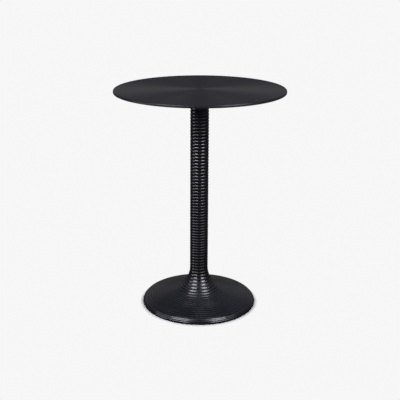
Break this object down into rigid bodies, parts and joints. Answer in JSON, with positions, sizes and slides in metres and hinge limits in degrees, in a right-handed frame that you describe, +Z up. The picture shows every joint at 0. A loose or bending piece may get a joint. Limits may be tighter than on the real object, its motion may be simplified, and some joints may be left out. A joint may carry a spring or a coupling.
{
  "type": "side table",
  "caption": "Round pedestal side table in satin black metal: thin turned disc top on a ribbed column that flares into a ribbed trumpet base.",
  "frame": {"origin": "on the floor, at the middle of the base", "axes": "+Z up along the column, which is the axis of the whole table; -Y faces the picture's camera"},
  "size_m": [0.4499, 0.45, 0.6],
  "materials": {
    "black_turned": "satin",
    "black_cast": "satin",
    "black_screw": "satin",
    "bare_aluminium": "satin",
    "zinc_steel": "satin",
    "felt": "matte"
  },
  "bodies": {
    "root": {"table_top": "black_turned", "top_plate": "black_cast", "top_plate_screws": "black_screw", "column": "black_cast", "column_foot_plug": "bare_aluminium", "base": "black_cast", "tie_rod": "zinc_steel", "tie_rod_jam_nut": "zinc_steel", "tie_rod_washer": "zinc_steel", "tie_rod_lock_washer": "zinc_steel", "tie_rod_nut": "zinc_steel", "floor_pad_1": "felt", "floor_pad_2": "felt", "floor_pad_3": "felt", "floor_pad_4": "felt", "floor_pad_5": "felt", "floor_pad_6": "felt"}
  },
  "joints": []
}
